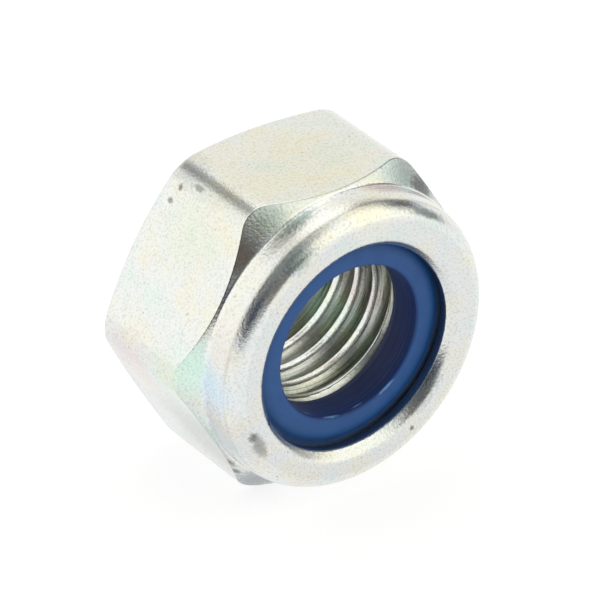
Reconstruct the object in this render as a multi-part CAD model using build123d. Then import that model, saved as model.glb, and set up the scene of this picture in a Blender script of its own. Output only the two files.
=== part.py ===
from build123d import *
import math
import os

# A nylon insert lock nut: a cold forged steel nut with a collar on one end, and
# a nylon ring that the collar's rolled lip holds in place. It lies on one of its
# six flats with the thread axis along Y. The bearing face is at y = 0 and faces
# +Y, and the collar points along -Y.
#
# Sections are drawn as (radius, height above the bearing face), in millimetres.

# Hexagon
across_flats = 17.0
corner_radius = 1.9
bearing_face_diameter = 16.2
bearing_chamfer_angle = 24.0
collar_chamfer_angle = 43.0

# Collar
nut_height = 10.0
collar_root_height = 7.75
collar_diameter = 16.7
collar_wall = 1.15
collar_lean = 0.3
shoulder_drop = 0.7
crown_diameter = 14.0
lip_opening_diameter = 11.9
lip_drop = 0.5
lip_thickness = 0.5
lip_edge_radius = 0.28

# Thread, M10 coarse, right hand
thread_diameter = 10.0
thread_minor_diameter = 8.676
thread_pitch = 1.5
thread_height = 6.9
thread_phase = -25.0
entry_diameter = 10.8
entry_angle = 120.0
exit_diameter = 9.5

# Nylon ring
ring_bore_diameter = 8.7
ring_edge_chamfer = 0.15
ring_shoulder_drop = 1.0
ring_clearance = 0.02

# Sizes that follow from the ones above
MINOR_RADIUS = thread_minor_diameter / 2
MAJOR_RADIUS = thread_diameter / 2
COLLAR_RADIUS = collar_diameter / 2
POCKET_RADIUS = COLLAR_RADIUS - collar_wall
CROWN_RADIUS = crown_diameter / 2
LIP_RADIUS = lip_opening_diameter / 2
LIP_TOP = nut_height - lip_drop
LIP_UNDERSIDE = LIP_TOP - lip_thickness
RING_TOP = LIP_UNDERSIDE - ring_clearance
RING_SHOULDER = RING_TOP - ring_shoulder_drop
RING_RADIUS = POCKET_RADIUS - ring_clearance
ROOF_RADIUS = POCKET_RADIUS - ring_shoulder_drop


def tan(degrees):
    return math.tan(math.radians(degrees))


def hexagon_blank():
    """The hexagon bar, with flats facing up and down and its corners rounded."""
    hexagon = RegularPolygon(across_flats / 2, 6, major_radius=False)
    hexagon = fillet(hexagon.vertices(), corner_radius)
    return extrude(hexagon, nut_height)


def collar_outside():
    """From the lip's edge over the crown and down the shoulder."""
    crown = TangentArc((CROWN_RADIUS, nut_height), (LIP_RADIUS, LIP_TOP), tangent=(-1, 0))
    side_top = (COLLAR_RADIUS - collar_lean, nut_height - shoulder_drop)
    shoulder = TangentArc((CROWN_RADIUS, nut_height), side_top, tangent=(1, 0))
    return [crown, shoulder]


def nut_section():
    """Half of the nut's section, before its hole and the hexagon's flats are cut."""
    reach = across_flats / math.sqrt(3)
    collar_foot = collar_root_height - (reach - COLLAR_RADIUS) * tan(collar_chamfer_angle)
    bearing_radius = bearing_face_diameter / 2
    bearing_rise = (reach - bearing_radius) * tan(bearing_chamfer_angle)
    outline = Polyline(
        (COLLAR_RADIUS - collar_lean, nut_height - shoulder_drop),
        (COLLAR_RADIUS, collar_root_height),
        (reach, collar_foot),
        (reach, bearing_rise),
        (bearing_radius, 0),
        (0, 0),
        (0, thread_height),
        (POCKET_RADIUS, thread_height),
        (POCKET_RADIUS, RING_SHOULDER),
        (ROOF_RADIUS, LIP_UNDERSIDE),
        (LIP_RADIUS, LIP_UNDERSIDE),
        (LIP_RADIUS, LIP_TOP),
    )
    section = make_face([*outline.edges(), *collar_outside()])
    lip_edge = section.vertices().sort_by_distance((LIP_RADIUS, LIP_TOP))[0]
    return fillet(lip_edge, lip_edge_radius)


def thread_groove():
    """One 60 degree groove, swept along the helix past both ends of the hole."""
    root_half = thread_pitch / 16
    mouth_radius = MINOR_RADIUS - thread_pitch / 8
    mouth_half = root_half + (MAJOR_RADIUS - mouth_radius) * tan(30)
    helix = Helix(thread_pitch, thread_height + 2 * thread_pitch, MINOR_RADIUS, (0, 0, -thread_pitch))
    groove = Polygon(
        (mouth_radius, -thread_pitch - mouth_half),
        (MAJOR_RADIUS, -thread_pitch - root_half),
        (MAJOR_RADIUS, -thread_pitch + root_half),
        (mouth_radius, -thread_pitch + mouth_half),
        align=None,
    )
    cutter = sweep(Plane.XZ * groove, path=helix, is_frenet=True)
    return Rot(Z=thread_phase) * cutter


def tap():
    """What tapping takes out: the minor diameter and its groove, past both ends."""
    length = thread_height + 4 * thread_pitch
    return Pos(Z=thread_height / 2) * Cylinder(MINOR_RADIUS, length) + thread_groove()


def countersink(diameter, angle, height, side):
    """A cone centred on the thread axis, opening towards side (-1 or +1)."""
    radius = diameter / 2
    cone = Polygon((0, 0), (radius, 0), (0, -side * radius / tan(angle / 2)), align=None)
    return Pos(Z=height) * revolve(Plane.XZ * cone, Axis.Z)


def nut_body():
    """Forge the blank, drill and tap it, then countersink both ends of the hole."""
    blank = hexagon_blank() & revolve(Plane.XZ * nut_section(), Axis.Z)
    tapped = blank - tap()
    entered = tapped - countersink(entry_diameter, entry_angle, 0, -1)
    return entered - countersink(exit_diameter, 90, thread_height, 1)


def nylon_ring():
    """The insert, with its upper outside edge shaped by the rolled collar."""
    bore = ring_bore_diameter / 2
    section = Polygon(
        (bore + ring_edge_chamfer, RING_TOP),
        (bore, RING_TOP - ring_edge_chamfer),
        (bore, thread_height + ring_edge_chamfer),
        (bore + ring_edge_chamfer, thread_height),
        (RING_RADIUS, thread_height),
        (RING_RADIUS, RING_SHOULDER),
        (ROOF_RADIUS, RING_TOP),
        align=None,
    )
    return revolve(Plane.XZ * section, Axis.Z)


def lay_down(shape):
    """Turn the thread axis from +Z to -Y, so that the nut lies on a flat."""
    return Rot(X=90) * shape


os.makedirs("parts", exist_ok=True)
export_step(lay_down(nut_body()), "parts/nut_body.step")
export_step(lay_down(nylon_ring()), "parts/nylon_ring.step")
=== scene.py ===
# %% [markdown]
# # A nylon insert lock nut, lying on one of its flats
#
# The real object is a steel nut, cold forged in one piece with a thin collar on
# one end, then drilled, tapped and zinc plated. A blue nylon ring is dropped into
# the collar, and the collar's edge is rolled inwards to keep it there.
#
# The engineering model gives the exact sizes and the frame: the thread axis lies
# along Y, the collar points along -Y, and Z is up. This script loads that frame
# and gives each of the two pieces a finely shaped mesh and a surface finish.

# %% Load the frame
import math

import bmesh
import bpy
import numpy as np
from mathutils import Matrix, Vector


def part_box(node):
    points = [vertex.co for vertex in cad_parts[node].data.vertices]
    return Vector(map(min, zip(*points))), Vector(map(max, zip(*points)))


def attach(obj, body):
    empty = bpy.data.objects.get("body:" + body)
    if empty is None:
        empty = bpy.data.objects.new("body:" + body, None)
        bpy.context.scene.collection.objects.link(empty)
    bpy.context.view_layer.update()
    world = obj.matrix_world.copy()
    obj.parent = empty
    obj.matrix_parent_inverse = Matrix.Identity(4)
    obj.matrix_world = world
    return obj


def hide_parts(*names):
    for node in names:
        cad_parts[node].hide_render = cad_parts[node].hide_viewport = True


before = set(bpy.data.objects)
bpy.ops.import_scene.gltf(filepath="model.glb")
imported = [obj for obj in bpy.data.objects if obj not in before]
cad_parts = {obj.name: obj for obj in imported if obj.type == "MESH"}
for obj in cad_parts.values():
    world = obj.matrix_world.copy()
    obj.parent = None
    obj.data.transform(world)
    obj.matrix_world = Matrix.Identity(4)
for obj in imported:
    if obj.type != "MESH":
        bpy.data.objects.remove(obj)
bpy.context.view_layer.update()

# %% [markdown]
# ## Sizes
#
# Everything is in metres, so a millimetre is a named unit. The height and the
# width across flats are read from the frame, and the other sizes repeat those of
# the engineering model. They could be measured from its mesh instead, but named
# values show what each size is for. A point of a section is a radius and a height
# above the bearing face, which is how a turner would draw the nut.

# %% Sizes of the nut body
MM = 0.001

low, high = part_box("nut_body")
FLAT = high.z  # from the axis to a flat
HEIGHT = -low.y

CORNER_RADIUS = 1.9 * MM
BEARING_RADIUS = 8.1 * MM
BEARING_ANGLE = math.radians(24)
CHAMFER_ANGLE = math.radians(43)
COLLAR_RADIUS = 8.35 * MM
COLLAR_ROOT = 7.75 * MM
LIP_RADIUS = 5.95 * MM
LIP_DROP = 0.5 * MM
LIP_THICKNESS = 0.5 * MM
LIP_TOP = HEIGHT - LIP_DROP
LIP_UNDERSIDE = LIP_TOP - LIP_THICKNESS
print(f"across flats {2 * FLAT / MM:.2f} mm, height {HEIGHT / MM:.2f} mm")

# %% [markdown]
# ## Sizes inside
#
# The hole is tapped M10 x 1.5: 10 mm across the grooves, 1.5 mm from one to the
# next. Its two ends are countersunk so that a bolt finds its way in. The pocket
# above it is as wide as the ring, but for a sliver of clearance that keeps the
# two pieces' faces apart.

# %% Sizes of the thread and of the pocket
PITCH = 1.5 * MM
CREST_RADIUS = 4.338 * MM
ROOT_RADIUS = 5.0 * MM
THREAD_END = 6.9 * MM
# The model's thread starts at -25 degrees. Angles are counted here from the top flat, a quarter turn on.
THREAD_START = math.radians(-25 - 90)
ENTRY_RADIUS = 5.4 * MM
ENTRY_HALF_ANGLE = math.radians(60)
EXIT_RADIUS = 4.75 * MM

RING_CLEARANCE = 0.02 * MM
RING_TOP = LIP_UNDERSIDE - RING_CLEARANCE
RING_SHOULDER_DROP = 1.0 * MM
POCKET_RADIUS = 7.2 * MM
POCKET_SHOULDER = RING_TOP - RING_SHOULDER_DROP
POCKET_ROOF_RADIUS = 6.2 * MM
print(f"thread M{2 * ROOT_RADIUS / MM:.0f} x {PITCH / MM:.1f}, {THREAD_END / MM:.1f} mm long")

# %% [markdown]
# ## Columns round the axis
#
# Both pieces could be turned with a Screw modifier, but the hexagon isn't round
# and the thread climbs. So they are built as grids: columns stand at angles round
# the thread axis, and rows follow the section. The hexagon's corners turn
# sharply, so the columns stand three times as close there as on the flats. Every
# grid shares these columns, so their edges meet point to point.

# %% The angles of the columns
SECTOR = math.radians(60)
CORNER_COLUMNS = 26
FLAT_COLUMNS = 34
# Where a flat ends and a corner's rounding begins, as an angle from the flat's middle
TANGENT_ANGLE = math.atan((FLAT - CORNER_RADIUS) * math.tan(SECTOR / 2) / FLAT)


def sector_angles():
    """Angles from one flat's middle to the next flat's middle."""
    half_flat = np.linspace(0, TANGENT_ANGLE, FLAT_COLUMNS // 2 + 1)
    corner = np.linspace(TANGENT_ANGLE, SECTOR - TANGENT_ANGLE, CORNER_COLUMNS + 1)
    return np.concatenate([half_flat, corner[1:], SECTOR - half_flat[-2:0:-1]])


THETA = np.concatenate([sector_angles() + k * SECTOR for k in range(6)])
print("columns:", len(THETA))

# %% [markdown]
# ## The hexagon
#
# The bar that the nut is forged from is a hexagon with rounded corners. It could
# be a six-sided cylinder with a bevel. Here its side is a distance from the axis
# at each column instead: a straight flat, then the arc of a corner.

# %% The hexagon's radius at each column
def hexagon_radius(angle):
    """Distance from the axis to the rounded hexagon's side."""
    from_flat = np.abs((angle + SECTOR / 2) % SECTOR - SECTOR / 2)
    from_corner = SECTOR / 2 - from_flat
    corner_centre = (FLAT - CORNER_RADIUS) / math.cos(SECTOR / 2)
    beside_centre = corner_centre * np.sin(from_corner)
    past_centre = np.sqrt(np.maximum(CORNER_RADIUS**2 - beside_centre**2, 0))
    rounded = corner_centre * np.cos(from_corner) + past_centre
    return np.where(from_flat > TANGENT_ANGLE, rounded, FLAT / np.cos(from_flat))


def round_the_axis(radius, height):
    """Points at every column. Angle 0 is the top flat, and the collar is at -Y."""
    radius, height = np.broadcast_arrays(radius, height)
    return np.stack([-radius * np.sin(THETA), -height, radius * np.cos(THETA)], axis=-1)


HEX = hexagon_radius(THETA)
print(f"corners reach {HEX.max() / MM:.3f} mm from the axis")

# %% [markdown]
# ## Sections with rounded corners
#
# A section starts as a few straight runs, and each corner then gets its own
# radius, as on a drawing. Forged and plated steel has no knife edges, and even a
# tenth of a millimetre of rounding catches a line of light. A Bevel modifier
# could round the edges too. Rounding the section first gives every corner its own
# radius, and lets each row keep its place on the section: 3 at corner 3, and 3.5
# halfway on to corner 4. The materials read that place later.

# %% One rounded corner
FILLET_SHARE = 0.4  # how much of a place a fillet takes up
LONGEST_CUT = 0.48  # the most of a run that one fillet may use


def with_place(rows, place):
    """The same rows with their place on the section as a third number."""
    return np.column_stack([rows, np.full(len(rows), place)])


def fillet_rows(before, corner, after, fillet, steps):
    """Rows along a rounded corner, as a conic curve that is very nearly an arc."""
    back = before - corner
    ahead = after - corner
    back_length = np.linalg.norm(back, axis=1, keepdims=True)
    ahead_length = np.linalg.norm(ahead, axis=1, keepdims=True)
    cosine = (back * ahead).sum(1, keepdims=True) / (back_length * ahead_length)
    half_turn = (math.pi - np.arccos(np.clip(cosine, -1, 1))) / 2
    cut = np.minimum(fillet * np.tan(half_turn), LONGEST_CUT * np.minimum(back_length, ahead_length))
    start = corner + back / back_length * cut
    end = corner + ahead / ahead_length * cut
    for t in np.linspace(0, 1, steps + 1):
        a, b, c = (1 - t) ** 2, 2 * t * (1 - t) * np.cos(half_turn), t**2
        yield t, (a * start + b * corner + c * end) / (a + b + c)


print("a fillet takes up", FILLET_SHARE, "of a place")

# %% [markdown]
# ## A whole section
#
# A corner with no fillet is one row, and a rounded one is several. Long straight
# runs then get rows of their own, because faces of about the same size shade
# evenly, and a long thin face next to a tight curve shows a crease.

# %% All corners, and rows between them
def fillet_section(corners):
    """Rows from corners (radius, height, fillet, steps), for every column at once."""
    one = np.ones_like(THETA)
    points = [np.stack([radius * one, height * one], axis=-1) for radius, height, _, _ in corners]
    rows = []
    for k, (_, _, fillet, steps) in enumerate(corners):
        if np.all(fillet == 0):
            rows.append(with_place(points[k], k))
            continue
        for t, row in fillet_rows(points[k - 1], points[k], points[k + 1], fillet, steps):
            rows.append(with_place(row, k + FILLET_SHARE * (t - 0.5)))
    return np.stack(rows, axis=1)


def spread(rows, longest):
    """Adds rows so that no run between two of them is longer than this."""
    by_row = np.moveaxis(rows, 1, 0)
    out = [by_row[0]]
    for before, after in zip(by_row[:-1], by_row[1:]):
        run = np.linalg.norm((after - before)[:, :2], axis=1).max()
        parts = max(1, math.ceil(run / longest))
        out += [before + (after - before) * k / parts for k in range(1, parts + 1)]
    return np.stack(out, axis=1)


print("corners keep whole numbers as their places")

# %% [markdown]
# ## Rows into a mesh
#
# Neighbouring rows and columns make four-sided faces. Blender's from_pydata takes
# all points and faces in one go, which is much quicker than adding them one by
# one. Where two grids meet, their points lie in the same spots, and merging
# doubles joins them into one closed skin, as the real piece is one lump of metal.

# %% Faces between the rows
def grid_faces(row_count, first=0, shift=0):
    """Quads between neighbouring rows and columns, closed round the axis.

    A shift joins the last column to the first column that many rows on, which
    is how a screw thread closes on itself.
    """
    columns = len(THETA)
    quads = []
    for j in range(row_count - 1):
        for i in range(columns):
            k, step = (i + 1, 0) if i + 1 < columns else (0, shift)
            if j + step < 0 or j + 1 + step >= row_count:
                continue
            here = j * columns
            beyond = (j + step) * columns
            quads.append([here + i, beyond + k, beyond + columns + k, here + columns + i])
    return np.array(quads) + first


print("faces between two rows:", len(grid_faces(2)))

# %% [markdown]
# ## From mesh to object
#
# A mesh is only data. An object puts it in the scene. BMesh is Blender's tool for
# tidying a mesh: it merges the doubled points, drops faces that have shrunk to
# nothing, and turns every face outwards. An edge with fewer or more than two
# faces would be a hole or a stray, so those are counted.

# %% Make an object
MERGE_DISTANCE = 1e-7
SLIVER_LENGTH = 1e-8


def make_object(name, points, places, quads):
    """A smooth-shaded object. Each point keeps its place on the section."""
    mesh = bpy.data.meshes.new(name)
    mesh.from_pydata(points.tolist(), [], quads.tolist())
    mesh.attributes.new("section_place", "FLOAT", "POINT").data.foreach_set("value", places)
    work = bmesh.new()
    work.from_mesh(mesh)
    bmesh.ops.remove_doubles(work, verts=work.verts, dist=MERGE_DISTANCE)
    bmesh.ops.dissolve_degenerate(work, edges=work.edges, dist=SLIVER_LENGTH)
    bmesh.ops.recalc_face_normals(work, faces=work.faces)
    open_edges = sum(not edge.is_manifold for edge in work.edges)
    work.to_mesh(mesh)
    work.free()
    mesh.polygons.foreach_set("use_smooth", [True] * len(mesh.polygons))
    piece = bpy.data.objects.new(name, mesh)
    bpy.context.scene.collection.objects.link(piece)
    print(name, "faces:", len(mesh.polygons), "open edges:", open_edges)
    return piece


print(f"points within {MERGE_DISTANCE / MM:.4f} mm are merged")

# %% [markdown]
# ## The thread
#
# The hole is tapped: a tap with 60 degree teeth is screwed through it, and leaves
# one groove on a helix. Cutting a swept groove out of the mesh with a Boolean
# would leave long thin faces. But a thread is a surface that repeats when it
# turns once and moves on by one pitch, so its rows can follow the helix: each row
# sits at one place on the groove's profile, and climbs by one pitch in a turn.

# %% The thread's profile
FLANK_ANGLE = math.radians(30)
ROOT_HALF = PITCH / 16
CREST_ROUNDING = 0.19 * MM  # a drawing has flat crests, and tapping and plating leave them round


def thread_profile(phase):
    """Radius at a phase, 0 to 1 along one pitch. 0 is the middle of the groove's bottom."""
    from_root = np.abs((phase + 0.5) % 1 - 0.5) * PITCH
    slope = np.maximum(from_root - ROOT_HALF, 0) / math.tan(FLANK_ANGLE)
    over_crest = ROOT_RADIUS - slope - CREST_RADIUS
    return CREST_RADIUS + (over_crest + np.sqrt(over_crest**2 + CREST_ROUNDING**2)) / 2


# Rows stand at these phases along half a pitch, closer together where the profile bends
CREST = (ROOT_HALF + (ROOT_RADIUS - CREST_RADIUS) * math.tan(FLANK_ANGLE)) / PITCH
ROOT_AND_FLANK = [0, ROOT_HALF / PITCH, ROOT_HALF / PITCH + 0.02, 0.12, 0.18, 0.24]
OVER_CREST = [CREST - 0.03, CREST, CREST + 0.04, CREST + 0.08, CREST + 0.12, CREST + 0.15, 0.5]
half_pitch = np.array(ROOT_AND_FLANK + OVER_CREST)
pitch_phases = np.concatenate([half_pitch, 1 - half_pitch[-2:0:-1]])
print("rows in one turn of the thread:", len(pitch_phases))

# %% [markdown]
# ## Both ends of the thread
#
# Rows that would pass an end of the hole are held at that end. A countersink is a
# cone, so at any height the hole is as wide as the thread or the cone, whichever
# is wider. Taking the larger of two radii cuts it with no Boolean at all.

# %% The thread's grid
CLIMB = (THETA - THREAD_START) / (2 * math.pi)
FIRST_TURN = -3
LAST_TURN = math.ceil(THREAD_END / PITCH) + 2

phases = np.concatenate([pitch_phases + turn for turn in range(FIRST_TURN, LAST_TURN)])
climbing = (phases[:, None] + CLIMB) * PITCH
thread_height = np.clip(climbing, 0, THREAD_END)
held = climbing != thread_height
along_helix = thread_profile(phases)[:, None] * np.ones_like(CLIMB)
along_end = thread_profile(thread_height / PITCH - CLIMB)
thread_radius = np.where(held, along_end, along_helix)
entry_cone = ENTRY_RADIUS - thread_height * math.tan(ENTRY_HALF_ANGLE)
exit_cone = EXIT_RADIUS - (THREAD_END - thread_height)
thread_radius = np.maximum(thread_radius, np.maximum(entry_cone, exit_cone))
print("thread rows:", len(thread_radius))

# %% [markdown]
# ## The nut's outside
#
# One section per column: across the bearing face, round its chamfer, up the
# hexagon's side, down the collar chamfer, up the collar, over the rolled crown to
# the lip, and back under it into the pocket that holds the ring. Only the
# hexagon's radius changes from column to column, and the chamfers' curved edges
# come out of that by themselves, as they do on a lathe.
#
# Rolling is not an exact process. On one side the lip is pressed a little further
# in, and its edge is sharper, so both fade in and out round the axis.

# %% The outside section
LIP_ROLLED_FURTHER = 0.28 * MM
LIP_EDGE_RADIUS = 0.28 * MM
LIP_EDGE_SHARPER = 0.17 * MM
LONGEST_OUTSIDE_RUN = 0.6 * MM


def swell(middle, reach):
    """1 at an angle round the axis, fading to 0 beyond a reach, both in degrees."""
    degrees = np.degrees(np.angle(np.exp(1j * THETA)))
    return np.exp(-(((degrees - middle) / reach) ** 2))


bearing_rise = (HEX - BEARING_RADIUS) * math.tan(BEARING_ANGLE)
chamfer_drop = (HEX - COLLAR_RADIUS) * math.tan(CHAMFER_ANGLE)
lip = LIP_RADIUS - LIP_ROLLED_FURTHER * swell(-52, 38)
lip_edge = LIP_EDGE_RADIUS - LIP_EDGE_SHARPER * swell(-82, 42)
thread_mouth = np.maximum(EXIT_RADIUS, thread_profile(THREAD_END / PITCH - CLIMB))
OUTSIDE_CORNERS = [
    (ENTRY_RADIUS, 0, 0, 0),  # 0: rim of the entry countersink
    (BEARING_RADIUS, 0, 0.25 * MM, 4),  # 1: rim of the bearing face
    (HEX, bearing_rise, 0.25 * MM, 4),  # 2: bottom of the flats
    (HEX, COLLAR_ROOT - chamfer_drop, 0.16 * MM, 4),  # 3: top of the flats
    (COLLAR_RADIUS, COLLAR_ROOT, 0.3 * MM, 5),  # 4: foot of the collar
    (8.31 * MM, 8.75 * MM, 3 * MM, 4),  # 5: the collar leans in
    (8.21 * MM, 9.20 * MM, 0.7 * MM, 5),  # 6: start of the shoulder
    (7.98 * MM, 9.62 * MM, 3 * MM, 6),  # 7: on the shoulder
    (7.62 * MM, 9.93 * MM, 3 * MM, 6),  # 8: on the shoulder
    (7.15 * MM, HEIGHT, 3 * MM, 6),  # 9: start of the crown
    (lip + 0.41 * MM, HEIGHT, 1.35 * MM, 10),  # 10: the crown turns down
    (lip, LIP_TOP, lip_edge[:, None], 8),  # 11: edge of the lip
    (lip, LIP_UNDERSIDE - 0.1 * MM, 0.12 * MM, 4),  # 12: under the lip
    (POCKET_ROOF_RADIUS, LIP_UNDERSIDE, 0, 0),  # 13: roof of the pocket
    (POCKET_RADIUS, POCKET_SHOULDER, 0, 0),  # 14: top of the pocket's wall
    (POCKET_RADIUS, THREAD_END, 0, 0),  # 15: floor of the pocket
    (thread_mouth, THREAD_END, 0, 0),  # 16: rim of the exit countersink
]
outside = spread(fillet_section(OUTSIDE_CORNERS), LONGEST_OUTSIDE_RUN)
print("rows outside:", outside.shape[1], "narrowest lip:", round(lip.min() / MM, 2), "mm")

# %% [markdown]
# ## The steel nut
#
# The outside ends where the thread's exit begins, and starts where its entry
# ends, so the two grids close into one solid skin. The thread's points get
# places below zero: -1 on its crests, and -2 at the bottom of its groove.

# %% Join the outside and the thread into the nut
outside_points = round_the_axis(outside[:, :, 0].T, outside[:, :, 1].T).reshape(-1, 3)
thread_points = round_the_axis(thread_radius, thread_height).reshape(-1, 3)
groove_depth = np.clip((thread_radius - CREST_RADIUS) / (ROOT_RADIUS - CREST_RADIUS), 0, 1)
nut_points = np.concatenate([outside_points, thread_points])
nut_places = np.concatenate([outside[:, :, 2].T.ravel(), -1 - groove_depth.ravel()])
nut_quads = np.concatenate([
    grid_faces(outside.shape[1]),
    grid_faces(len(thread_radius), first=len(outside_points), shift=-len(pitch_phases)),
])
nut = make_object("steel_nut", nut_points, nut_places, nut_quads)
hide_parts("nut_body")
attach(nut, "root")

# %% [markdown]
# ## The nylon ring
#
# A moulded ring with small rounded edges. Its bore is narrower than a bolt's
# thread, so the bolt has to press its way through, and that is what locks it. The
# rolled collar presses the ring's upper outside edge to a bevel. It is one turned
# section again, and its seam, where the places jump from 8 back to 0, lies in the
# pocket where nobody sees it.

# %% The ring
RING_BORE = 4.35 * MM
RING_OUTSIDE = POCKET_RADIUS - RING_CLEARANCE
RING_SEAM = 7.4 * MM
LONGEST_RING_RUN = 0.4 * MM
RING_CORNERS = [
    (RING_OUTSIDE, RING_SEAM, 0, 0),  # 0: the seam
    (RING_OUTSIDE, THREAD_END, 0, 0),  # 1: on the pocket's floor
    (RING_BORE, THREAD_END, 0.15 * MM, 3),  # 2: bottom of the bore
    (RING_BORE, RING_TOP, 0.2 * MM, 6),  # 3: top of the bore
    (5.35 * MM, RING_TOP, 2 * MM, 8),  # 4: the top dips
    (5.95 * MM, RING_TOP - 0.32 * MM, 1 * MM, 4),  # 5: start of the bevel
    (6.6 * MM, RING_TOP - 0.42 * MM, 0.3 * MM, 2),  # 6: on the bevel, under the lip
    (RING_OUTSIDE, POCKET_SHOULDER - 0.03 * MM, 0.1 * MM, 2),  # 7: the shoulder
    (RING_OUTSIDE, RING_SEAM, 0, 0),  # 8: back at the seam
]
ring_rows = spread(fillet_section(RING_CORNERS), LONGEST_RING_RUN)
nylon_points = round_the_axis(ring_rows[:, :, 0].T, ring_rows[:, :, 1].T).reshape(-1, 3)
nylon_places = ring_rows[:, :, 2].T.ravel()
ring = make_object("blue_nylon_ring", nylon_points, nylon_places, grid_faces(ring_rows.shape[1]))
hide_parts("nylon_ring")
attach(ring, "root")

# %% [markdown]
# ## How the materials are written
#
# Colours are easiest to pick as sRGB hex codes, but Blender reckons in linear
# light, so one function turns them over. A material could be drawn by hand in the
# node editor. In a script, one function that adds a node, sets it and links it
# keeps every material readable, because each line then says what the node does.

# %% Colours and nodes
COLOUR_RESULT = 2  # a Mix node has one result for each kind of data, and its colour is the third


def linear(code):
    """An sRGB hex colour as the linear values that Blender works in."""
    parts = [int(code[k:k + 2], 16) / 255 for k in (1, 3, 5)]
    return [c / 12.92 if c <= 0.04045 else ((c + 0.055) / 1.055) ** 2.4 for c in parts] + [1]


def node(tree, kind, settings=None, stops=None, **links):
    """Adds a node. Settings are properties or inputs, stops fill a colour ramp, and links go to inputs."""
    made = tree.nodes.new(kind)
    names = [socket.identifier for socket in made.inputs]
    for name, value in (settings or {}).items():
        if name in names:
            made.inputs[names.index(name)].default_value = value
        else:
            setattr(made, name, value)
    for name, source in links.items():
        name = name if name in names else name.replace("_", " ")
        tree.links.new(source, made.inputs[names.index(name)])
    for k, (position, code) in enumerate((stops or {}).items()):
        elements = made.color_ramp.elements
        if k == 0:
            elements.remove(elements[1])
        stop = elements[0] if k == 0 else elements.new(position)
        stop.position = position
        stop.color = linear(code)
    return made


def new_material(name):
    material = bpy.data.materials.new(name)
    material.use_nodes = True
    material.node_tree.nodes.clear()
    return material, material.node_tree


print("mid grey #808080 is", round(linear("#808080")[0], 3), "in linear light")

# %% [markdown]
# ## Zinc plated steel: tones, and painted light and shade, along the section
#
# The nut is steel with a bright coat of zinc a few micrometres thick, plated in a
# bath and then dipped in a clear passivate. To the eye it is a pale metal, white
# in the light and near black where it mirrors something dark, with a faint tint.
# As a metal it keeps the default IOR, and its colour is the colour of its shine.
# Where the plating is clean its tones here are pale greys near #EDEFEF.
#
# The ramp from place to tone also paints light and shade, and the section place
# that each point carries puts each band exactly on its edge. Painted highlights
# are lighter lines on the thread's crests, on the rounded top edge of the flats,
# at the collar's foot and on the lip's edge. Painted shade darkens the thread's
# groove towards its bottom and a line along the flats' top edge. At the start of
# the shoulder a darker line is a painted dark reflection. Everything under the
# lip is painted shade, down to near black in the pocket.

# %% Steel: its tone, and painted light and shade, at each place of the section
FIRST_PLACE = -2
LAST_PLACE = 16
# Painted light and shade in these stops: lighter at -1.12, 2.94, 3.86 to 4.1 and 11.06; darker from -1.22
# down to -2, at 3.06 and 6.0, and from 11.21 on under the lip
SECTION_TONES_AND_PAINTED_LIGHT = {
    -2.0: "#B4BAB0", -1.5: "#D2D8CF", -1.22: "#DEE4DC", -1.12: "#F6F9F6",
    0.0: "#EDEFEF", 2.8: "#EDEFEE", 2.94: "#FAFAF6", 3.06: "#C6C1BA", 3.18: "#DCE3E1",
    3.74: "#E0E6E5", 3.86: "#FAFBFB", 4.1: "#F7F9F9", 4.3: "#EEF0F1", 5.7: "#EDEFEF",
    6.0: "#DDDED9", 6.3: "#EDEFEF", 8.4: "#EBEDED", 8.9: "#E5E7E7", 10.3: "#E6E8E8",
    11.06: "#F0F1F1", 11.14: "#E4E5E4", 11.21: "#A8A8AA",
    12.0: "#94949A", 12.4: "#3C3C44", 15.4: "#23232C",
}


def at_places(stops, first=FIRST_PLACE, last=LAST_PLACE):
    """The same stops with their section places brought to a ramp's 0 to 1."""
    return {(place - first) / (last - first): code for place, code in stops.items()}


steel, tree = new_material("zinc_plated_steel_clear_passivated")
spot = node(tree, "ShaderNodeTexCoord").outputs["Object"]
place = node(tree, "ShaderNodeAttribute", {"attribute_name": "section_place"}).outputs["Fac"]
section = node(tree, "ShaderNodeMapRange", {
    "From Min": FIRST_PLACE, "From Max": LAST_PLACE}, Value=place).outputs["Result"]
colour = node(tree, "ShaderNodeValToRGB", stops=at_places(SECTION_TONES_AND_PAINTED_LIGHT), Fac=section).outputs["Color"]
print("section tones on the steel:", len(SECTION_TONES_AND_PAINTED_LIGHT))

# %% [markdown]
# ## Zinc plated steel: zones
#
# A stain on a flat stops at the flat's edge, because the next face lay another
# way in the bath. So each mark is kept to a zone of the section. A zone is a ramp
# that is white between two places and black outside them.

# %% Steel: the zones of the section
BEFORE_ZONE = 0.04
INTO_ZONE = 0.02
AFTER_ZONE = 0.06
STEEL_ZONES = {
    "flat": (2.0, 3.0),
    "chamfer": (3.04, 3.86),
    "collar": (3.84, 10.6),
    "lip": (9.8, 12.0),
    "thread": (-1.96, -1.0),
}
steel_zones = {}
for name, (first, last) in STEEL_ZONES.items():
    fade = {first - BEFORE_ZONE: "#000000", first + INTO_ZONE: "#FFFFFF",
            last: "#FFFFFF", last + AFTER_ZONE: "#000000"}
    steel_zones[name] = node(tree, "ShaderNodeValToRGB", stops=at_places(fade), Fac=section).outputs["Color"]
print("zones:", ", ".join(steel_zones))

# %% [markdown]
# ## Stains, films, knocks, and painted light and shade
#
# Nuts are plated and packed loose in a drum, so each has its own drying stains,
# rainbow films, scuffs and knocks. Some of the marks here are painted light and
# shade instead. Noise alone never puts one where it belongs.
# Here each mark is placed one by one: an ellipse that lies flat on the surface and
# fades over its own reach. A fine noise added to the distance makes its edge
# ragged, as a stain's edge is.
#
# A mark's own frame is a Mapping node of the texture kind. It moves, turns and
# scales the point the other way, so that in it every mark is round and reaches
# out to 1.

# %% Lay marks over a colour
RAGS_PER_MM = 4.2
RAGGEDNESS = 1.3
FULL_AT = 0.3  # of the reach: the mark is at full strength up to here


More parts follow.
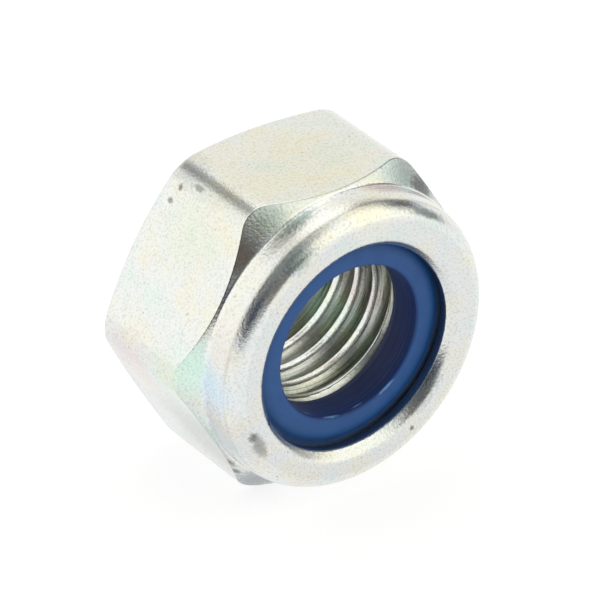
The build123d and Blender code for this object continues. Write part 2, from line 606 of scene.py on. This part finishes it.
def lay_marks(tree, spot, colour, marks, zones):
    """Each mark is zone, angle, radius, height, reach round, reach across, colour and strength."""
    ragged = node(tree, "ShaderNodeTexNoise", {
        "Scale": RAGS_PER_MM / MM, "Detail": 3.0, "Roughness": 0.75}, Vector=spot)
    for name, (zone, degrees, radius, height, reach_round, reach_across, code, strength) in marks.items():
        angle = math.radians(degrees)
        own_frame = node(tree, "ShaderNodeMapping", {
            "vector_type": "TEXTURE", "label": name,
            "Location": (-radius * MM * math.sin(angle), -height * MM, radius * MM * math.cos(angle)),
            "Rotation": (0, -angle, 0),
            "Scale": (reach_round * MM, reach_across * MM, reach_across * MM)}, Vector=spot)
        away = node(tree, "ShaderNodeVectorMath", {"operation": "LENGTH"}, Vector=own_frame.outputs[0])
        ragged_away = node(tree, "ShaderNodeMath", {
            "operation": "MULTIPLY_ADD", "Value_001": RAGGEDNESS},
            Value=ragged.outputs["Fac"], Value_002=away.outputs["Value"])
        near = node(tree, "ShaderNodeMapRange", {
            "interpolation_type": "SMOOTHSTEP", "To Min": 0.0, "To Max": strength,
            "From Min": 1 + RAGGEDNESS / 2, "From Max": FULL_AT + RAGGEDNESS / 2},
            Value=ragged_away.outputs[0])
        share = node(tree, "ShaderNodeMath", {"operation": "MULTIPLY"},
                     Value=near.outputs[0], Value_001=zones[zone])
        laid = node(tree, "ShaderNodeMix", {"data_type": "RGBA", "B_Color": linear(code)},
                    A_Color=colour, Factor_Float=share.outputs[0])
        colour = laid.outputs[COLOUR_RESULT]
    return colour


print("ragged edges:", RAGS_PER_MM, "to the millimetre")

# %% [markdown]
# ## The marks on this nut
#
# Films are wide, pale and weak, and sit on the faces. Knocks and scuffs are
# small, grey and strong, and sit where nuts hit one another: on corners and on
# the crown. The rest are painted light and shade: grey patches on the lower side,
# dark patches on the chamfers, dark lines in the crease at the collar's foot and
# on the lip are painted shade. Dark bands along a corner and across the collar and
# shoulder are painted reflections of the tent's dark parts. Pale patches in the lip
# and the thread are painted light. A table with one line for each mark is easy to
# read, and to change.

# %% Steel: the marks
# name: zone, angle round the axis in degrees, then radius, height, reach round and reach across in
# millimetres, colour, strength
STEEL_MARKS = {
    "rose_film_low_left": ("flat", 97, 9.25, 2.5, 2.4, 2.6, "#EAD9DC", 0.6),
    "mint_film_low_left": ("flat", 92, 8.9, 6.0, 2.2, 2.2, "#DDF0E6", 0.5),
    # Painted shade: a grey patch that darkens the lower flats
    "painted_shade_low": ("flat", 122, 8.4, 6.6, 3.6, 5.0, "#D0D2D1", 0.85),
    "cream_film_left": ("flat", 43, 8.88, 4.2, 3.6, 3.6, "#EFECD8", 0.5),
    "cream_film_on_top": ("flat", 0, 8.5, 5.0, 5.0, 4.5, "#ECE9D6", 0.5),
    # Painted dark reflection: this mark and the next darken a band along the rounded corner
    "painted_dark_reflection_on_corner": ("flat", 30.5, 9.52, 3.4, 1.1, 4.6, "#CFD3D0", 0.45),
    "blue_grey_on_corner": ("flat", 30, 9.52, 1.4, 1.4, 1.6, "#B4BAC8", 0.4),
    "speck_on_left_flat": ("flat", 36, 9.30, 1.62, 0.3, 0.22, "#8E8E88", 0.9),
    "speck_by_the_corner": ("flat", 41, 8.98, 1.36, 0.22, 0.3, "#9A9A94", 0.9),
    "nick_on_corner": ("flat", 33, 9.48, 2.78, 0.24, 0.6, "#9C9A98", 0.8),
    "mint_film_on_chamfer": ("chamfer", 85, 9.05, 7.10, 2.3, 2.3, "#DCF4E9", 0.9),
    "grey_green_corner_chamfer": ("chamfer", 27, 8.93, 7.20, 1.4, 1.4, "#B4C4BF", 0.7),
    "brown_corner_chamfer": ("chamfer", 42, 8.72, 7.42, 1.4, 1.4, "#BDAFA6", 0.75),
    "pale_green_right_chamfer": ("chamfer", -27, 8.80, 7.33, 1.6, 1.6, "#CCDCDC", 0.7),
    # Painted shade: the next four marks darken the right chamfer, the lower chamfer and the crease at the
    # collar's foot
    "dark_right_chamfer": ("chamfer", -40, 8.62, 7.50, 1.2, 1.2, "#70767A", 0.8),
    "dark_low_chamfer": ("chamfer", 150, 8.95, 7.20, 1.9, 1.9, "#A0A4AA", 0.85),
    "crevice_low": ("chamfer", 131, 8.58, 7.50, 0.75, 0.22, "#66645E", 0.85),
    "crevice_low_end": ("chamfer", 138, 8.82, 7.30, 0.65, 0.2, "#6C6A64", 0.8),
    "ice_blue_film_on_collar": ("collar", 93, 8.36, 7.95, 2.2, 2.2, "#DCEBFA", 0.85),
    # Painted shade: the next three grey patches darken the lower side of the collar, the crown and the
    # chamfer
    "painted_shade_on_collar_low": ("collar", 112, 8.30, 8.3, 3.2, 1.5, "#CFD1D5", 0.85),
    "painted_shade_on_crown_low": ("collar", 113, 7.7, 9.8, 2.8, 0.9, "#E0E1E2", 0.8),
    "painted_shade_on_chamfer_low": ("chamfer", 122, 8.4, 7.7, 2.2, 1.2, "#CDD0D2", 0.8),
    "rose_film_at_collar_foot": ("collar", -20, 8.34, 7.96, 2.4, 0.7, "#DDCDD5", 0.7),
    # Painted dark reflection: the next five marks darken a streak across the collar, the crown and the
    # shoulder, with a green-grey tint
    "grey_green_on_collar": ("collar", 21, 8.33, 8.08, 1.7, 0.55, "#94A9A7", 0.8),
    "grey_green_on_crown": ("collar", 31, 7.86, 9.74, 1.3, 0.8, "#A8B8BA", 0.75),
    "dark_band_on_shoulder": ("collar", -7, 8.18, 9.25, 1.9, 0.34, "#B0B2B8", 0.6),
    "dark_band_on_shoulder_middle": ("collar", -19, 8.02, 9.53, 1.7, 0.40, "#A0A4AA", 0.6),
    "dark_band_on_shoulder_end": ("collar", -32, 7.87, 9.71, 1.9, 0.38, "#8F989C", 0.75),
    "cream_film_on_crown": ("collar", -3, 7.74, 9.8, 2.0, 2.0, "#F1EFE0", 0.5),
    "scuff": ("collar", 117, 7.26, 9.98, 1.25, 0.46, "#A4A4A2", 0.9),
    "scuff_head": ("collar", 111.5, 7.36, 9.96, 0.42, 0.36, "#7C7C7A", 0.8),
    # Painted shade: a near-black patch on the lip
    "painted_shade_on_lip": ("lip", 112, 6.12, 9.72, 0.4, 0.3, "#3C3C44", 0.9),
    "speck": ("collar", -150, 6.96, 10.0, 0.2, 0.2, "#77777A", 0.9),
    # Painted light: a grey patch that lightens the dark wall under the lip's edge
    "painted_light_in_lip": ("lip", -136, 6.05, 9.55, 2.0, 1.0, "#B4B4B2", 0.6),
    "green_film_in_thread": ("thread", -128, 4.7, 2.5, 1.6, 4.0, "#E2F4EA", 0.6),
    # Painted highlight: a white patch in the thread
    "painted_highlight_in_thread": ("thread", -172, 4.7, 4.0, 2.6, 4.0, "#FFFFFF", 0.8),
    "rose_film_in_thread": ("thread", -100, 4.7, 4.5, 1.6, 3.0, "#D8C8CE", 0.5),
}
colour = lay_marks(tree, spot, colour, STEEL_MARKS, steel_zones)
print("marks on the steel:", len(STEEL_MARKS))

# %% [markdown]
# ## Streaks in the thread
#
# A tap's teeth drag fine lines along the groove. A noise stretched along a
# straight axis would cross them, because the groove is a helix. But the section
# place runs straight across the groove everywhere. So the noise is read quickly
# along the place, and slowly through space, which draws streaks that follow the
# helix. The real lines are a few hundredths of a millimetre wide. These are about
# 0.08 mm, drawn coarser so that they show. Their tints are those of the passivate.

# %% Steel: streaks that follow the thread
STREAKS_PER_PLACE = 9.0
SLOW_STREAKS_PER_MM = 0.3
THREAD_ONLY = {-1.16: "#FFFFFF", -1.09: "#404040", -0.99: "#000000"}
STREAK_TINTS = {0.30: "#7F867A", 0.42: "#C9D2CC", 0.50: "#F4F4F0", 0.58: "#E6DCE2", 0.70: "#A9A68C"}

slowly = [SLOW_STREAKS_PER_MM / MM] * 3
slow = node(tree, "ShaderNodeVectorMath", {"operation": "MULTIPLY", "Vector_001": slowly}, Vector=spot)
quick = node(tree, "ShaderNodeMath", {"operation": "MULTIPLY", "Value_001": STREAKS_PER_PLACE}, Value=place)
across = node(tree, "ShaderNodeCombineXYZ", X=quick.outputs[0])
streak_spot = node(tree, "ShaderNodeVectorMath", {"operation": "ADD"},
                   Vector=slow.outputs[0], Vector_001=across.outputs[0])
streak = node(tree, "ShaderNodeTexNoise", {
    "Scale": 1.0, "Detail": 3.0, "Roughness": 0.6}, Vector=streak_spot.outputs[0])
streak_tint = node(tree, "ShaderNodeValToRGB", stops=STREAK_TINTS, Fac=streak.outputs["Fac"])
thread_zone = node(tree, "ShaderNodeValToRGB", stops=at_places(THREAD_ONLY), Fac=section).outputs["Color"]
streaked = node(tree, "ShaderNodeMix", {"data_type": "RGBA", "blend_type": "MULTIPLY"},
                A_Color=colour, B_Color=streak_tint.outputs["Color"], Factor_Float=thread_zone)
colour = streaked.outputs[COLOUR_RESULT]
print("streaks between a crest and the groove's bottom:", STREAKS_PER_PLACE)

# %% [markdown]
# ## Painted shade on the countersink under the ring
#
# The far end of the thread sits in a narrow gap under the nylon, where no light
# gets in, so a band of painted shade darkens it. It is a band across the axis,
# so the height along Y says where it is.

# %% Steel: painted shade at the end of the thread
# Painted shade: a dark band near the far end of the thread
PAINTED_SHADE_FROM = 6.70 * MM
PAINTED_SHADE_TO = 6.87 * MM
PAINTED_SHADE_STRENGTH = 0.85
PAINTED_SHADE_COLOUR = "#4A4A58"

apart = node(tree, "ShaderNodeSeparateXYZ", Vector=spot)
band = node(tree, "ShaderNodeMapRange", {
    "From Min": -PAINTED_SHADE_FROM, "From Max": -PAINTED_SHADE_TO, "To Max": PAINTED_SHADE_STRENGTH}, Value=apart.outputs["Y"])
painted_shade_share = node(tree, "ShaderNodeMath", {"operation": "MULTIPLY"},
                  Value=band.outputs[0], Value_001=steel_zones["thread"])
painted_shade_mix = node(tree, "ShaderNodeMix", {"data_type": "RGBA", "B_Color": linear(PAINTED_SHADE_COLOUR)},
              A_Color=colour, Factor_Float=painted_shade_share.outputs[0])
colour = painted_shade_mix.outputs[COLOUR_RESULT]
print(f"dull from {PAINTED_SHADE_FROM / MM:.2f} to {PAINTED_SHADE_TO / MM:.2f} mm above the bearing face")

# %% [markdown]
# ## Clouds, grain and pits
#
# Three noises over the whole nut. Clouds about 2.4 mm wide tint the passivate
# film from mint to cream to rose, very faintly. Speckles stand for the zinc's
# crystals: real ones are some hundredths of a millimetre, and these are drawn at
# 0.13 mm so that they show at all. Pits are rare darker dots, where only the top
# of a 0.3 mm noise gets past its ramp. Each is laid over the colour by
# multiplying, which can only darken or tint, as a film or a pit does.

# %% Steel: clouds, speckles and pits
CLOUDS_PER_MM = 0.42
SPECKLES_PER_MM = 7.5
PITS_PER_MM = 3.4
PIT_STRENGTH = 0.5
CLOUD_TINTS = {0.30: "#F1FAF6", 0.48: "#FAFAFA", 0.60: "#FDFAEF", 0.74: "#FCF3F4"}
SPECKLE_TINTS = {0.28: "#EAEAE9", 0.50: "#FCFCFC", 0.72: "#FFFFFF"}
PIT_TINTS = {0.71: "#FFFFFF", 0.76: "#A4A09A"}

STEEL_NOISES = {
    "clouds": ({"Scale": CLOUDS_PER_MM / MM, "Detail": 4.0, "Roughness": 0.6}, CLOUD_TINTS, 1.0),
    "speckles": ({"Scale": SPECKLES_PER_MM / MM, "Detail": 1.0}, SPECKLE_TINTS, 1.0),
    "pits": ({"Scale": PITS_PER_MM / MM, "Detail": 2.0}, PIT_TINTS, PIT_STRENGTH),
}
for name, (settings, tints, strength) in STEEL_NOISES.items():
    noise = node(tree, "ShaderNodeTexNoise", {"label": name, **settings}, Vector=spot)
    tint = node(tree, "ShaderNodeValToRGB", stops=tints, Fac=noise.outputs["Fac"])
    laid = node(tree, "ShaderNodeMix", {
        "data_type": "RGBA", "blend_type": "MULTIPLY", "Factor_Float": strength},
        A_Color=colour, B_Color=tint.outputs["Color"])
    colour = laid.outputs[COLOUR_RESULT]
print("noises over the steel:", ", ".join(STEEL_NOISES))

# %% [markdown]
# ## The steel's surface
#
# Under the zinc lie the marks of making. The whole nut has a fine grain, here
# 0.15 mm wide, and the chamfer and collar keep the turning tool's rings, here
# about 0.12 mm apart. Both are drawn coarser than the real ones. Turned rings
# only change along the axis, so their noise is read from Y alone. Modelling them
# would take millions of faces, so they are bump: the light bends, the shape
# doesn't.

# %% Steel: grain and turned rings as bump
GRAINS_PER_MM = 6.8
TURNED_RINGS_PER_MM = 8.5
RING_SHARE = 0.8
GRAIN_DEPTH = 0.014 * MM
ALONG_AXIS = (0, 1, 0)
TURNED_FACES = {3.0: "#000000", 3.2: "#585858", 3.9: "#FFFFFF", 5.0: "#909090", 6.6: "#000000"}

grain = node(tree, "ShaderNodeTexNoise", {
    "Scale": GRAINS_PER_MM / MM, "Detail": 2.0, "Roughness": 0.6}, Vector=spot)
along = node(tree, "ShaderNodeVectorMath", {"operation": "MULTIPLY", "Vector_001": ALONG_AXIS}, Vector=spot)
turned = node(tree, "ShaderNodeTexNoise", {
    "Scale": TURNED_RINGS_PER_MM / MM, "Detail": 1.0}, Vector=along.outputs[0])
turned_zone = node(tree, "ShaderNodeValToRGB", stops=at_places(TURNED_FACES), Fac=section)
rings = node(tree, "ShaderNodeMath", {"operation": "MULTIPLY"},
             Value=turned.outputs["Fac"], Value_001=turned_zone.outputs["Color"])
relief = node(tree, "ShaderNodeMath", {"operation": "MULTIPLY_ADD", "Value_001": RING_SHARE},
              Value=rings.outputs[0], Value_002=grain.outputs["Fac"])
bump = node(tree, "ShaderNodeBump", {"Strength": 1.0, "Distance": GRAIN_DEPTH}, Height=relief.outputs[0])
print(f"grain {1 / GRAINS_PER_MM:.2f} mm, turned rings {1 / TURNED_RINGS_PER_MM:.2f} mm")

# %% [markdown]
# ## The steel's shader
#
# One Principled node takes it all. Metallic is 1, because the zinc covers every
# spot. Bright zinc plate has a roughness of 0.2 to 0.3: it mirrors large bright
# and dark areas, but no detail. The thread is a little duller than the outside,
# as the tap and the bath leave it.

# %% Steel: the shader
OUTSIDE_ROUGHNESS = 0.22
THREAD_ROUGHNESS = 0.29

roughness = node(tree, "ShaderNodeMapRange", {
    "To Min": OUTSIDE_ROUGHNESS, "To Max": THREAD_ROUGHNESS}, Value=thread_zone)
shader = node(tree, "ShaderNodeBsdfPrincipled", {"Metallic": 1.0},
              Base_Color=colour, Normal=bump.outputs["Normal"], Roughness=roughness.outputs[0])
node(tree, "ShaderNodeOutputMaterial", Surface=shader.outputs[0])
nut.data.materials.append(steel)
print("steel nodes:", len(tree.nodes))

# %% [markdown]
# ## Blue nylon: its colour
#
# The ring is nylon, dyed blue and injection moulded. Moulded nylon has a soft
# satin shine and lets a little light in, so its top looks milky blue, while the
# bore, which light hardly reaches, is deep navy. Subsurface scattering could make
# that, but it is slow and noisy on so small a ring. The tone follows the section
# instead, so the bore's deep navy is painted shade. The bevel under the lip is
# painted paler, as painted light, and a faint mottle about 1 mm wide is the dye's
# uneven spread.

# %% Nylon: its tone at each place of the section
LAST_RING_PLACE = 8
# The dye's blue, with painted shade in the bore (places 2 to 2.85) and painted light on the bevel (4.8 to
# 6.3)
NYLON_DYE_AND_PAINTED_LIGHT = {
    0.0: "#092350", 2.0: "#062457", 2.5: "#062A66", 2.85: "#0A3070", 3.2: "#1B5290",
    4.3: "#1F5390", 4.8: "#40649A", 5.4: "#7088AE", 6.3: "#62769C", 7.5: "#092350",
}
MOTTLES_PER_MM = 0.9
MOTTLE_TINTS = {0.3: "#E2E8F2", 0.7: "#FFFFFF"}

nylon, tree = new_material("moulded_blue_nylon")
spot = node(tree, "ShaderNodeTexCoord").outputs["Object"]
place = node(tree, "ShaderNodeAttribute", {"attribute_name": "section_place"}).outputs["Fac"]
section = node(tree, "ShaderNodeMapRange", {
    "From Min": 0, "From Max": LAST_RING_PLACE}, Value=place).outputs["Result"]
tone = node(tree, "ShaderNodeValToRGB", stops=at_places(NYLON_DYE_AND_PAINTED_LIGHT, 0, LAST_RING_PLACE), Fac=section)
mottle = node(tree, "ShaderNodeTexNoise", {
    "Scale": MOTTLES_PER_MM / MM, "Detail": 4.0, "Roughness": 0.6}, Vector=spot)
mottle_tint = node(tree, "ShaderNodeValToRGB", stops=MOTTLE_TINTS, Fac=mottle.outputs["Fac"])
mottled = node(tree, "ShaderNodeMix", {
    "data_type": "RGBA", "blend_type": "MULTIPLY", "Factor_Float": 1.0},
    A_Color=tone.outputs["Color"], B_Color=mottle_tint.outputs["Color"])
colour = mottled.outputs[COLOUR_RESULT]
print("section tones on the nylon:", len(NYLON_DYE_AND_PAINTED_LIGHT))

# %% [markdown]
# ## Blue nylon: scratches and painted light on the bevel
#
# Nylon that is scraped turns white, because it fills with tiny gaps that scatter
# light. The bore has a few short scratches of that kind, and the bevel one paler
# stretch of painted light. They are laid as the steel's marks are.

# %% Nylon: its marks
NYLON_ZONES = {
    "bore": {2.5: "#000000", 2.6: "#FFFFFF", 3.3: "#FFFFFF", 3.4: "#000000"},
    "bevel": {4.6: "#000000", 4.9: "#FFFFFF", 6.2: "#FFFFFF", 6.4: "#000000"},
}
NYLON_MARKS = {
    "scratch_at_bottom": ("bore", 167, 4.36, 8.84, 0.7, 0.10, "#6E9BD0", 0.8),
    "scratch_at_bottom_right": ("bore", -170, 4.36, 8.74, 0.6, 0.07, "#6E9BD0", 0.7),
    "scratch_at_right": ("bore", -147, 4.44, 8.96, 0.8, 0.10, "#6E9BD0", 0.8),
    "scratch_at_left": ("bore", 147, 4.36, 8.52, 0.5, 0.08, "#6E9BD0", 0.6),
    # Painted light: a paler stretch on the bevel
    "painted_light_on_bevel": ("bevel", 122, 5.80, 8.75, 2.0, 0.5, "#9A9AA8", 0.6),
}
nylon_zones = {}
for name, fade in NYLON_ZONES.items():
    zone_stops = at_places(fade, 0, LAST_RING_PLACE)
    nylon_zones[name] = node(tree, "ShaderNodeValToRGB", stops=zone_stops, Fac=section).outputs["Color"]
colour = lay_marks(tree, spot, colour, NYLON_MARKS, nylon_zones)
print("marks on the nylon:", len(NYLON_MARKS))

# %% [markdown]
# ## The nylon's surface
#
# The bore keeps fine rings from the mould's turned core, about 0.24 mm apart
# here, which is coarser than the real ones. They run round the axis, so their
# noise is read from Y alone, and they fade out over the edge to the smooth top.
# Nylon's IOR is 1.53. Its roughness is that of a satin moulding, and its specular
# level is turned down until the shine is as soft as it should be.

# %% Nylon: rings as bump, and the shader
BORE_RINGS_PER_MM = 4.2
BORE_RING_DEPTH = 0.03 * MM
RINGED_FACES = {2.9: "#FFFFFF", 3.15: "#202020", 4.0: "#101010"}
NYLON_LOOK = {"Roughness": 0.5, "IOR": 1.53, "Specular IOR Level": 0.33}

along = node(tree, "ShaderNodeVectorMath", {"operation": "MULTIPLY", "Vector_001": ALONG_AXIS}, Vector=spot)
turned = node(tree, "ShaderNodeTexNoise", {
    "Scale": BORE_RINGS_PER_MM / MM, "Detail": 2.0}, Vector=along.outputs[0])
ringed_stops = at_places(RINGED_FACES, 0, LAST_RING_PLACE)
ringed_zone = node(tree, "ShaderNodeValToRGB", stops=ringed_stops, Fac=section)
rings = node(tree, "ShaderNodeMath", {"operation": "MULTIPLY"},
             Value=turned.outputs["Fac"], Value_001=ringed_zone.outputs["Color"])
bump = node(tree, "ShaderNodeBump", {"Strength": 1.0, "Distance": BORE_RING_DEPTH}, Height=rings.outputs[0])
shader = node(tree, "ShaderNodeBsdfPrincipled", NYLON_LOOK, Base_Color=colour, Normal=bump.outputs["Normal"])
node(tree, "ShaderNodeOutputMaterial", Surface=shader.outputs[0])
ring.data.materials.append(nylon)
print("nylon nodes:", len(tree.nodes))

# %% [markdown]
# ## The floor
#
# The nut lies on a sheet of white acrylic that is lit from below, as on a light
# table, so the floor is almost white and only a trace of a shadow is left on it.
# A floor that gives off most of its own light, and reflects a little, does the
# same. It has no specular shine, so that nothing is mirrored in it.

# %% Floor
FLOOR_SIZE = 2.0
ACRYLIC_LOOK = {
    "Base Color": linear("#959595"),
    "Roughness": 0.8,
    "Specular IOR Level": 0.0,
    "Emission Color": linear("#FFFFFF"),
    "Emission Strength": 0.80,
}

bpy.ops.mesh.primitive_plane_add(size=FLOOR_SIZE, location=(0, 0, low.z))
floor = bpy.context.object
floor.name = "floor"
acrylic, tree = new_material("backlit_white_acrylic")
shader = node(tree, "ShaderNodeBsdfPrincipled", ACRYLIC_LOOK)
node(tree, "ShaderNodeOutputMaterial", Surface=shader.outputs[0])
floor.data.materials.append(acrylic)
print(f"floor at z = {low.z / MM:.2f} mm")

# %% [markdown]
# ## The light
#
# Bright plating is a mirror: what we see on it is the room. So the light is a
# white tent, as for jewellery, with soft panels and darker gaps in chosen
# directions. Area lights could do it, but each would need its own place and size.
# Here the world's background holds them all: each patch compares the direction
# we look in with its own, and fades from its inner to its outer radius.

# %% The patches of the tent
WHITE_TENT = (0.98, 0.98, 0.97)
# name: azimuth from the collar's side towards +X, elevation, inner and outer radius in degrees, light
PATCHES = {
    "ceiling": (0, 90, 18, 42, (0.74, 0.76, 0.75)),
    "warm_back_wall": (142, 31, 18, 40, (1.00, 0.99, 0.93)),
    "back_ceiling_panel": (152, 66, 12, 26, (1.36, 1.36, 1.34)),
    "key_softbox": (44, 34, 26, 46, (1.30, 1.29, 1.16)),
    "left_panel": (-134, 22, 26, 44, (1.15, 1.15, 1.12)),
    "gap_at_back": (-168, 46, 6, 17, (0.36, 0.36, 0.34)),
    "ceiling_over_camera": (-60, 64, 10, 26, (0.32, 0.36, 0.36)),
    "room_round_camera": (-52, 28, 18, 40, (0.17, 0.185, 0.20)),
    "room_right_of_camera": (-18, 24, 10, 24, (0.17, 0.165, 0.165)),
    "gap_beside_camera": (-40, 12, 4, 14, (0.42, 0.42, 0.42)),
    "camera_and_stand": (-61, 18, 8, 20, (0.02, 0.03, 0.055)),
    "bench_at_right": (76, 3, 5, 20, (0.50, 0.49, 0.47)),
    "stand_at_right": (94, 29, 6, 17, (0.12, 0.13, 0.14)),
    "stand_arm": (110, 46, 6, 17, (0.40, 0.42, 0.46)),
}


def direction(azimuth, elevation):
    """A unit vector towards a spot on the tent. Both angles are in degrees."""
    azimuth, elevation = math.radians(azimuth), math.radians(elevation)
    level = math.cos(elevation)
    return (level * math.sin(azimuth), -level * math.cos(azimuth), math.sin(elevation))


print("patches in the tent:", len(PATCHES))

# %% [markdown]
# ## Building the tent
#
# The world's nodes start from the tent's white. For each patch a dot product
# measures how near the direction is to the patch's own, a Map Range turns that
# into a soft-edged disc, and a Mix lays the patch's light over what came before.
# Later patches cover earlier ones, so most of the small ones come last.

# %% Build the tent
world = bpy.data.worlds.new("light_tent")
bpy.context.scene.world = world
world.use_nodes = True
tree = world.node_tree
tree.nodes.clear()
way = node(tree, "ShaderNodeTexCoord").outputs["Generated"]
tent = node(tree, "ShaderNodeRGB")
tent.outputs[0].default_value = (*WHITE_TENT, 1)
light = tent.outputs[0]
for name, (azimuth, elevation, inner, outer, patch_light) in PATCHES.items():
    aim = node(tree, "ShaderNodeVectorMath", {
        "operation": "DOT_PRODUCT", "label": name,
        "Vector_001": direction(azimuth, elevation)}, Vector=way)
    edge = node(tree, "ShaderNodeMapRange", {
        "interpolation_type": "SMOOTHSTEP",
        "From Min": math.cos(math.radians(outer)),
        "From Max": math.cos(math.radians(inner))}, Value=aim.outputs["Value"])
    lit = node(tree, "ShaderNodeMix", {"data_type": "RGBA", "B_Color": (*patch_light, 1)},
               A_Color=light, Factor_Float=edge.outputs[0])
    light = lit.outputs[COLOUR_RESULT]
sky = node(tree, "ShaderNodeBackground", Color=light)
node(tree, "ShaderNodeOutputWorld", Surface=sky.outputs[0])
# The Standard view shows colours as they are, and a film-like one would grey the white floor
bpy.context.scene.view_settings.view_transform = "Standard"
print("world nodes:", len(tree.nodes))

# %% [markdown]
# ## The camera
#
# A long lens from a little over a quarter of a metre: the nut is seen from above
# and from the collar's side, with almost no perspective, as small parts usually
# are. The camera is placed by the spot it aims at, two angles and a distance,
# which is easier to adjust than a place and a rotation.

# %% Camera
CAMERA_AZIMUTH = math.radians(-37.8)
CAMERA_ELEVATION = math.radians(32.2)
CAMERA_ROLL = math.radians(1.5)
CAMERA_DISTANCE = 275.6 * MM
AIM = Vector((1.74 * MM, -2.47 * MM, -1.41 * MM))
SENSOR_WIDTH = 36.0
FOCAL_LENGTH = 316.0
NEAREST = 0.01
FURTHEST = 5.0

back = Vector((math.sin(CAMERA_AZIMUTH) * math.cos(CAMERA_ELEVATION),
               -math.cos(CAMERA_AZIMUTH) * math.cos(CAMERA_ELEVATION),
               math.sin(CAMERA_ELEVATION)))
camera_data = bpy.data.cameras.new("camera")
camera_data.lens = FOCAL_LENGTH
camera_data.sensor_width = SENSOR_WIDTH
camera_data.clip_start = NEAREST
camera_data.clip_end = FURTHEST
camera = bpy.data.objects.new("camera", camera_data)
bpy.context.scene.collection.objects.link(camera)
turn = (-back).to_track_quat("-Z", "Y").to_matrix() @ Matrix.Rotation(CAMERA_ROLL, 3, "Z")
camera.matrix_world = Matrix.Translation(AIM + back * CAMERA_DISTANCE) @ turn.to_4x4()
bpy.context.scene.camera = camera
print("camera at", [round(c / MM, 1) for c in camera.location], "mm")
